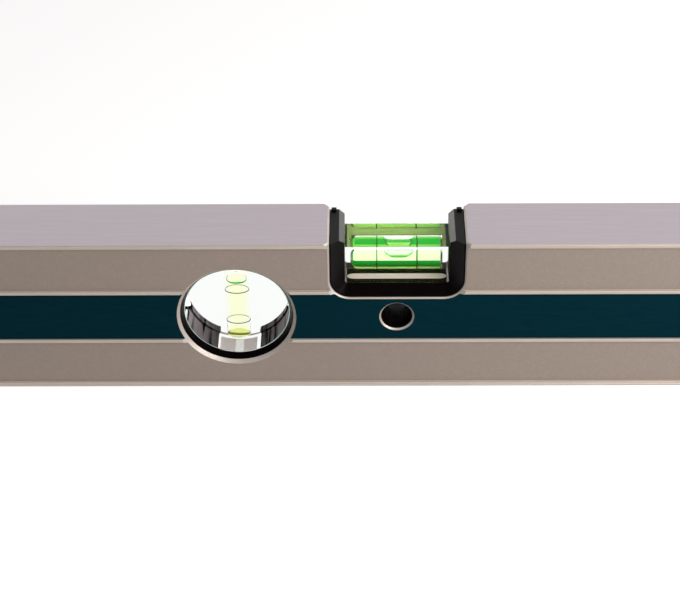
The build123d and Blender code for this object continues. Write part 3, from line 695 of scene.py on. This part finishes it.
blind, plug_x = low.x, high.x
corner = 2.4 * MM
column = [(blind, 0)] + quarter(blind + corner, BORE_RADIUS - corner, corner, 180, 90)
column += [(plug_x, BORE_RADIUS), (plug_x, 0)]
main_liquid = lathe("main_liquid_column", column, (0, 0, bore_z), "X", green)
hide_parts("main_vial_liquid")
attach(main_liquid, "level")

# The plug is the block's own acrylic, so only the thread of air in the chamfer at its inner end shows.
seam, tree = blank_material("air_in_plug_seam")
look = {"Color": linear("FFFFFF"), "Roughness": 0.0, "IOR": 1 / ACRYLIC_INDEX}
skin = node(tree, "ShaderNodeBsdfGlass", look)
node(tree, "ShaderNodeOutputMaterial", {"Surface": skin.outputs[0]})
seam_x, chamfer = plug_x + 0.25 * MM, 0.45 * MM
ring = [(seam_x, BORE_RADIUS), (seam_x + chamfer, BORE_RADIUS), (seam_x, BORE_RADIUS - chamfer)]
main_plug = lathe("main_plug_seam", ring, (0, 0, bore_z), "X", seam)
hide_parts("main_vial_plug")
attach(main_plug, "level")

ring_maker, given = geometry_tree(
    "index_rings",
    (
        ("Radius", "Float"), ("Width", "Float"), ("Depth", "Float"), ("Spacing", "Float"),
        ("Centre", "Vector"), ("Turn", "Vector"), ("Ink", "Material"),
    ),
    "Rings",
)
half_up = {0: given["Depth"], 1: 0.5, 2: given["Radius"]}
middle = node(ring_maker, "ShaderNodeMath", half_up, operation="MULTIPLY_ADD")
path = node(ring_maker, "GeometryNodeCurvePrimitiveCircle", {"Resolution": 96, "Radius": middle.outputs[0]})
sizes = {"Width": given["Depth"], "Height": given["Width"]}
bar = node(ring_maker, "GeometryNodeCurvePrimitiveQuadrilateral", sizes)
sweep = {"Curve": path.outputs[0], "Profile Curve": bar.outputs[0]}
band = node(ring_maker, "GeometryNodeCurveToMesh", sweep)
start = node(ring_maker, "ShaderNodeMath", {0: given["Spacing"], 1: -0.5}, operation="MULTIPLY")
first = node(ring_maker, "ShaderNodeCombineXYZ", {"Z": start.outputs[0]})
step = node(ring_maker, "ShaderNodeCombineXYZ", {"Z": given["Spacing"]})
row = {"Count": 2, "Start Location": first.outputs[0], "Offset": step.outputs[0]}
spots = node(ring_maker, "GeometryNodeMeshLine", row)
pair = {"Points": spots.outputs[0], "Instance": band.outputs[0]}
copies = node(ring_maker, "GeometryNodeInstanceOnPoints", pair)
lay = {"Geometry": copies.outputs[0], "Translation": given["Centre"], "Rotation": given["Turn"]}
placed = node(ring_maker, "GeometryNodeTransform", lay)
real = node(ring_maker, "GeometryNodeRealizeInstances", {"Geometry": placed.outputs[0]})
inked = node(ring_maker, "GeometryNodeSetMaterial", {"Geometry": real.outputs[0], "Material": given["Ink"]})
node(ring_maker, "NodeGroupOutput", {"Rings": inked.outputs[0]})
plumb_lines = (PLUMB_X, 0, HOLE_Z - 0.6 * MM)
for name, source, width, spacing, centre, turn in (
    ("main_index_rings", "main_vial_lines", 0.32 * MM, 13.4 * MM, (0, 0, bore_z), (0, pi / 2, 0)),
    ("plumb_index_rings", "plumb_vial_lines", 0.28 * MM, 12.8 * MM, plumb_lines, (0, 0, 0)),
):
    sizes = {
        "Radius": BORE_RADIUS, "Width": width, "Depth": 0.12 * MM, "Spacing": spacing,
        "Centre": centre, "Turn": turn, "Ink": ink,
    }
    rings = plain_mesh(bpy.data.objects.new(name, bpy.data.meshes.new(name)), ring_maker, sizes)
    rings.data.materials.append(pale_painted_rear_ink)
    # The far halves of the plumb vial's rings take the ink painted pale.
    for face in rings.data.polygons:
        if source == "plumb_vial_lines" and face.center.y > 0:
            face.material_index = len(rings.data.materials) - 1
    smooth(rings)
    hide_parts(source)
    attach(rings, "level")

low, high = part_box("main_vial_bubble")
WALL_FILM = 0.12 * MM  # of liquid, between the gas and the bore
SQUARENESS, FULLNESS = 0.45, 4.45  # of the bubble's ends, seen from above and in its underside
half_long, half_wide = (high.x - low.x) / 2, high.y + 0.2 * MM
mid_x, underside = (high.x + low.x) / 2, low.z - 0.3 * MM


def bubble_roof(across):
    """Height of the bubble's roof, which lies against the bore."""
    return bore_z + sqrt((BORE_RADIUS - WALL_FILM) ** 2 - across**2)


shape = bmesh.new()
around, rows = 240, 60
for sheet in ("roof", "underside"):
    loops = []
    for r in range(1, rows + 1):
        reach = sin(pi / 2 * r / rows)
        loop = []
        for k in range(around):
            a = 2 * pi * k / around
            along = half_long * reach * (1 if cos(a) > 0 else -1) * abs(cos(a)) ** SQUARENESS
            across = half_wide * reach * sin(a)
            fullness = (abs(along / half_long) ** FULLNESS + (across / half_wide) ** 2) ** 0.5
            height = bubble_roof(across)
            if sheet == "underside":
                height -= (height - underside) * max(1 - fullness**3, 0) ** 0.5
            loop.append(shape.verts.new((mid_x + along, across, height)))
        loops.append(loop)
    middle = shape.verts.new((mid_x, 0, bubble_roof(0) if sheet == "roof" else underside))
    for k in range(around):
        j = (k + 1) % around
        shape.faces.new((middle, loops[0][k], loops[0][j]))
        for one, two in zip(loops, loops[1:]):
            shape.faces.new((one[k], two[k], two[j], one[j]))
bmesh.ops.remove_doubles(shape, verts=shape.verts, dist=0.001 * MM)
bmesh.ops.recalc_face_normals(shape, faces=shape.faces)
main_bubble = solid("main_bubble_body", shape, *gas_skins[:2])
# Faces on the sides of the bubble take the painted green edge.
for face in main_bubble.data.polygons:
    if -0.9 < face.normal.z < 0.3:
        face.material_index = 1
smooth(main_bubble, 60)
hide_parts("main_vial_bubble")
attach(main_bubble, "main_bubble")

# ---- plumb vial rings and pads ----
# Two black ABS half rings clamp the round vial from the front and the back; the back one is open at its
# foot. Two seats of dark glue hold the vial there and show through it as wedges; the pale streaks on the
# glue, more of them higher up, are a painted reflection.
glue_with_painted_streaks, tree = blank_material("dark_contact_glue")
place = node(tree, "ShaderNodeTexCoord")
draw_out = {"Vector": place.outputs["Object"], "Scale": (1, 0.03, 0.5)}
along = node(tree, "ShaderNodeMapping", draw_out)
sizes = {"Vector": along.outputs[0], "Scale": 1 / (1.3 * MM), "Detail": 2.0, "Roughness": 0.5}
painted_streaks = node(tree, "ShaderNodeTexNoise", sizes)
share = node(tree, "ShaderNodeMapRange", {"Value": painted_streaks.outputs["Fac"], "From Min": 0.36, "From Max": 0.5})
spot = node(tree, "ShaderNodeSeparateXYZ", {"Vector": place.outputs["Object"]})
reach = {"Value": spot.outputs["Z"], "From Min": 13 * MM, "From Max": 27 * MM, "To Min": 0.15}
rise = node(tree, "ShaderNodeMapRange", reach)
streak_share = node(tree, "ShaderNodeMath", {0: share.outputs[0], 1: rise.outputs[0]}, operation="MULTIPLY")
# Pale streaks of painted reflection on the dark glue.
colours = {"Factor": streak_share.outputs[0], 6: linear("080A06"), 7: linear("CCBEC8")}
tint = node(tree, "ShaderNodeMix", colours, data_type="RGBA").outputs[2]
look = {"Base Color": tint, "Roughness": 0.5, "Specular IOR Level": 0.0}
skin = node(tree, "ShaderNodeBsdfPrincipled", look)
node(tree, "ShaderNodeOutputMaterial", {"Surface": skin.outputs[0]})

# White paint on the inner wall is given a painted glow, so that the vial looks filled with light.
lining, tree = blank_material("white_light_catching_paint")
tint, _ = patches(tree, "F6F8F6", "FFFFFF", 1.5 * MM)
look = {"Base Color": tint, "Roughness": 0.7, "Specular IOR Level": 0.0}
look |= {"Emission Color": linear("FFFFFF"), "Emission Strength": 0.6}
skin = node(tree, "ShaderNodeBsdfPrincipled", look)
node(tree, "ShaderNodeOutputMaterial", {"Surface": skin.outputs[0]})

PAD_START = 0.25  # the slope below the horizontal at which each seat of glue starts
LINING_TOP = 0.8  # the slope above it at which the white paint ends
LIP_Y = 7.65 * MM  # of the lips that hold the disc's front and back
RING_RADIUS, SEAT_RADIUS, RING_EASE = 19.05 * MM, 18.4 * MM, 0.05 * MM
PLUMB_CENTRE = Vector((PLUMB_X, 0, HOLE_Z))
for name, source, side, mouth_y, mouth_radius, lip_radius, gap in (
    ("plumb_front_bezel", "plumb_front_ring", -1, 10.0 * MM, 18.9 * MM, 17.75 * MM, 0.0),
    ("plumb_back_bezel", "plumb_back_ring", 1, 10.9 * MM, 17.6 * MM, 17.2 * MM, radians(23.4)),
):
    turned = [
        (0, RING_RADIUS, 0), (side * mouth_y, RING_RADIUS, RING_EASE),
        (side * mouth_y, mouth_radius, RING_EASE), (side * LIP_Y, lip_radius, 0.12 * MM),
        (side * LIP_Y, SEAT_RADIUS, 0), (0, SEAT_RADIUS, 0),
    ]
    bezel = lathe(name, [tuple(point) for point in rounded(turned)], PLUMB_CENTRE, "Y", abs_turned, gap=gap)
    bezel.data.materials.append(lining)
    bezel.data.materials.append(glue_with_painted_streaks)
    for face in bezel.data.polygons:
        outwards = face.center - PLUMB_CENTRE
        slope = outwards.z / max(abs(outwards.x), 0.01 * MM)
        inner = face.normal.dot(outwards) < 0 and abs(face.normal.y) < 0.5
        seat = inner and abs(outwards.y) < LIP_Y - 0.05 * MM
        if seat and -PAD_START < slope < LINING_TOP:
            face.material_index = 1
        elif gap and (inner or face.normal.y < -0.5) and slope < 0:
            face.material_index = 1 if slope > -PAD_START else 2
    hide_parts(source)
    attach(bezel, "level")

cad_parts["plumb_ring_pads"].data.materials.clear()
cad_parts["plumb_ring_pads"].data.materials.append(glue_with_painted_streaks)

# ---- plumb vial ----
# A turned and polished acrylic disc is bored upright from below. Its dyed alcohol is a paler yellow
# green, and its bubble rests under the top of the bore.
# The front chamfer is left as the cutter frosts it, and carries a painted pale green glow for the light in
# the disc.
frosted, tree = blank_material("frosted_acrylic_chamfer")
tint, _ = patches(tree, "E4EEEA", "FFFFFF", 1.5 * MM, 3.0)
look = {"Base Color": tint, "Roughness": 0.6, "IOR": ACRYLIC_INDEX}
look |= {"Emission Color": linear("D8FFF0"), "Emission Strength": 0.35}
skin = node(tree, "ShaderNodeBsdfPrincipled", look)
node(tree, "ShaderNodeOutputMaterial", {"Surface": skin.outputs[0]})

low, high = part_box("plumb_vial_block")
DISC_RADIUS = 17.95 * MM
disc_radius = DISC_RADIUS + BOND
rim_in, rim_down = 0.4 * MM, 0.25 * MM
half_thick = (high.y - low.y) / 2
disc = [
    (-half_thick, 0), (-half_thick, disc_radius - rim_in), (rim_down - half_thick, disc_radius),
    (half_thick, disc_radius), (half_thick, 0),
]
plumb_disc = lathe("plumb_disc_body", disc, PLUMB_CENTRE, "Y", acrylic, steps=192)
smooth(plumb_disc, 15)
plumb_disc.data.materials.append(frosted)
for face in plumb_disc.data.polygons:
    if -0.99 < face.normal.y < -0.5:
        face.material_index = 1
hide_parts("plumb_vial_block")
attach(plumb_disc, "level")

PLUMB_LIQUID_INDEX = 0.985  # near 1, because this vial shows hardly any dark edge
span = (17 * MM, 42 * MM)
yellow_green = liquid("yellow_green_dyed_alcohol", "FFFF70", 46.0, "30C040", 3.0, PLUMB_LIQUID_INDEX, *span)
low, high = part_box("plumb_vial_liquid")
RISE = 0.7 * MM  # by which the bore's rounded upper end stands over a flat one
column = [(low.z, 0), (low.z, BORE_RADIUS), (high.z + RISE, BORE_RADIUS), (high.z + RISE, 0)]
plumb_liquid = lathe("plumb_liquid_column", column, (PLUMB_X, 0, 0), "Z", yellow_green)
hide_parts("plumb_vial_liquid")
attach(plumb_liquid, "level")

# The dye has stained the plug's upper face, which shows as a yellow ellipse under the liquid.
stained, tree = blank_material("dye_stained_acrylic_plug")
tint, _ = patches(tree, "EEF4B8", "F8FAD8", 1.5 * MM)
skin = node(tree, "ShaderNodeBsdfGlass", {"Color": tint, "Roughness": 0.1, "IOR": 1.02})
node(tree, "ShaderNodeOutputMaterial", {"Surface": skin.outputs[0]})
top, foot, face_radius = low.z - 0.05 * MM, low.z - 0.5 * MM, 3.9 * MM
face = [(foot, 0), (foot, face_radius), (top, face_radius), (top, 0)]
plumb_plug = lathe("plumb_plug_face", face, (PLUMB_X, 0, 0), "Z", stained)
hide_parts("plumb_vial_plug")
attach(plumb_plug, "level")

# A pale grey sealant fills the space under the plug; the whiter stripe down its middle is a painted
# highlight, and the whole sealant has a faint painted glow.
sealant, tree = blank_material("cast_white_sealant")
place = node(tree, "ShaderNodeTexCoord")
spot = node(tree, "ShaderNodeSeparateXYZ", {"Vector": place.outputs["Object"]})
aside = node(tree, "ShaderNodeMath", {0: spot.outputs["X"], 1: -PLUMB_X}, operation="ADD")
aside = node(tree, "ShaderNodeMath", {0: aside.outputs[0]}, operation="ABSOLUTE")
reach = {"Value": aside.outputs[0], "From Min": 1.2 * MM, "From Max": 1.5 * MM}
off_painted_stripe = node(tree, "ShaderNodeMapRange", reach)
tint, _ = patches(tree, "CCBEC2", "DAD0D2", 2 * MM, 3.0)
colours = {"Factor": off_painted_stripe.outputs[0], 6: linear("FFFFFF"), 7: tint}
tint = node(tree, "ShaderNodeMix", colours, data_type="RGBA").outputs[2]
look = {"Base Color": tint, "Roughness": 0.6, "Specular IOR Level": 0.0}
look |= {"Emission Color": tint, "Emission Strength": 0.22}
skin = node(tree, "ShaderNodeBsdfPrincipled", look)
node(tree, "ShaderNodeOutputMaterial", {"Surface": skin.outputs[0]})
steps, start, end = 16, radians(-111.5), radians(-70.5)
turns = [start + (end - start) * k / steps for k in range(steps + 1)]
shape = bmesh.new()
rows = []
for radius, y in (
    (DISC_RADIUS, -7.3 * MM), (DISC_RADIUS, 5 * MM), (DISC_RADIUS + 0.25 * MM, 5 * MM),
    (DISC_RADIUS + 0.25 * MM, -7.3 * MM),
):
    arc = [(PLUMB_X + radius * cos(t), y, HOLE_Z + radius * sin(t)) for t in turns]
    rows.append([shape.verts.new(point) for point in arc])
for one, two in zip(rows, rows[1:] + rows[:1]):
    for k in range(steps):
        shape.faces.new((one[k], one[k + 1], two[k + 1], two[k]))
for k in (0, steps):
    shape.faces.new([row[k] for row in rows])
bmesh.ops.recalc_face_normals(shape, faces=shape.faces)
seal = solid("plumb_plug_sealant", shape, sealant)
smooth(seal)
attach(seal, "level")

low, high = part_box("plumb_vial_bubble")
radius, round_foot, round_top = (high.x - low.x) / 2 + 0.25 * MM, 1.3 * MM, 2.9 * MM
pill = (
    [(low.z, 0)]
    + quarter(low.z + round_foot, radius - round_foot, round_foot, 180, 90)
    + quarter(high.z - round_top, radius - round_top, round_top, 90, 0)
    + [(high.z, 0)]
)
plumb_bubble = lathe("plumb_bubble_body", pill, (PLUMB_X, 0, RISE), "Z", gas_skins[2])
smooth(plumb_bubble, 60)
plumb_bubble.data.materials.append(gas_skins[3])
# Front faces below the bubble's middle take the painted green edge.
for face in plumb_bubble.data.polygons:
    if -0.97 < face.normal.z < -0.1 and face.normal.y < -0.25:
        face.material_index = 1
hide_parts("plumb_vial_bubble")
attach(plumb_bubble, "plumb_bubble")

# ---- hanging hole ----
# Two stepped ABS bushes line the hanging hole from the front and the back, and meet in the middle.
# They come from a polished tool, so a broad soft light stands in their mouths.
for name, source in (("hang_front_lining", "hang_front_bush"), ("hang_back_lining", "hang_back_bush")):
    moulded(name, source, abs_gloss, edge=0.06 * MM)

# ---- end caps and bumpers ----
# A plate of black polypropylene with three plugs is pressed into each end, and a soft teal bumper is
# moulded over its face.
for name, source in (("left_cap_moulding", "left_end_cap"), ("right_cap_moulding", "right_end_cap")):
    moulded(name, source, abs_black, edge=0.25 * MM)

# Moulded thermoplastic rubber is finely pitted, so it hardly shines.
rubber, tree = blank_material("moulded_thermoplastic_rubber")
tint, pits = patches(tree, "06303A", "0C414B", 0.5 * MM, 3.0)
relief = node(tree, "ShaderNodeBump", {"Strength": 0.3, "Distance": 0.05 * MM, "Height": pits})
look = {"Base Color": tint, "Roughness": 0.7, "Specular IOR Level": 0.2, "Normal": relief.outputs[0]}
skin = node(tree, "ShaderNodeBsdfPrincipled", look)
node(tree, "ShaderNodeOutputMaterial", {"Surface": skin.outputs[0]})

groove_maker, given = geometry_tree(
    "bumper_grooves",
    (
        ("Pad", "Geometry"), ("First Groove", "Vector"), ("Pitch", "Vector"), ("Count", "Int"),
        ("Radius", "Float"), ("Length", "Float"), ("Rubber", "Material"),
    ),
    "Grooved Pad",
)
sizes = {"Vertices": 32, "Radius": given["Radius"], "Depth": given["Length"]}
bar = node(groove_maker, "GeometryNodeMeshCylinder", sizes)
row = {"Count": given["Count"], "Start Location": given["First Groove"], "Offset": given["Pitch"]}
spots = node(groove_maker, "GeometryNodeMeshLine", row)
across = {"Points": spots.outputs[0], "Instance": bar.outputs[0], "Rotation": (pi / 2, 0, 0)}
bars = node(groove_maker, "GeometryNodeInstanceOnPoints", across)
pad = {"Mesh 1": given["Pad"]}
cut = node(groove_maker, "GeometryNodeMeshBoolean", pad, operation="DIFFERENCE", solver="EXACT")
groove_maker.links.new(bars.outputs[0], cut.inputs["Mesh 2"])
real = node(groove_maker, "GeometryNodeRealizeInstances", {"Geometry": cut.outputs["Mesh"]})
paint = {"Geometry": real.outputs[0], "Material": given["Rubber"]}
painted = node(groove_maker, "GeometryNodeSetMaterial", paint)
node(groove_maker, "NodeGroupOutput", {"Grooved Pad": painted.outputs[0]})
for name, source, side in (
    ("left_bumper_pad", "left_end_bumper", -1),
    ("right_bumper_pad", "right_end_bumper", 1),
):
    low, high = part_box(source)
    face_x = side * max(high.x, -low.x)
    sizes = {
        "First Groove": (face_x + side * 0.4 * MM, 0, low.z + 7 * MM), "Pitch": (0, 0, 6.4 * MM), "Count": 6,
        "Radius": 1 * MM, "Length": 18 * MM, "Rubber": rubber,
    }
    moulded(name, source, rubber, edge=0.1 * MM, grooves=(groove_maker, sizes))

visual_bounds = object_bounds()
sizes = {"cad": [list(c) for c in cad_bounds], "visual": [list(c) for c in visual_bounds]}
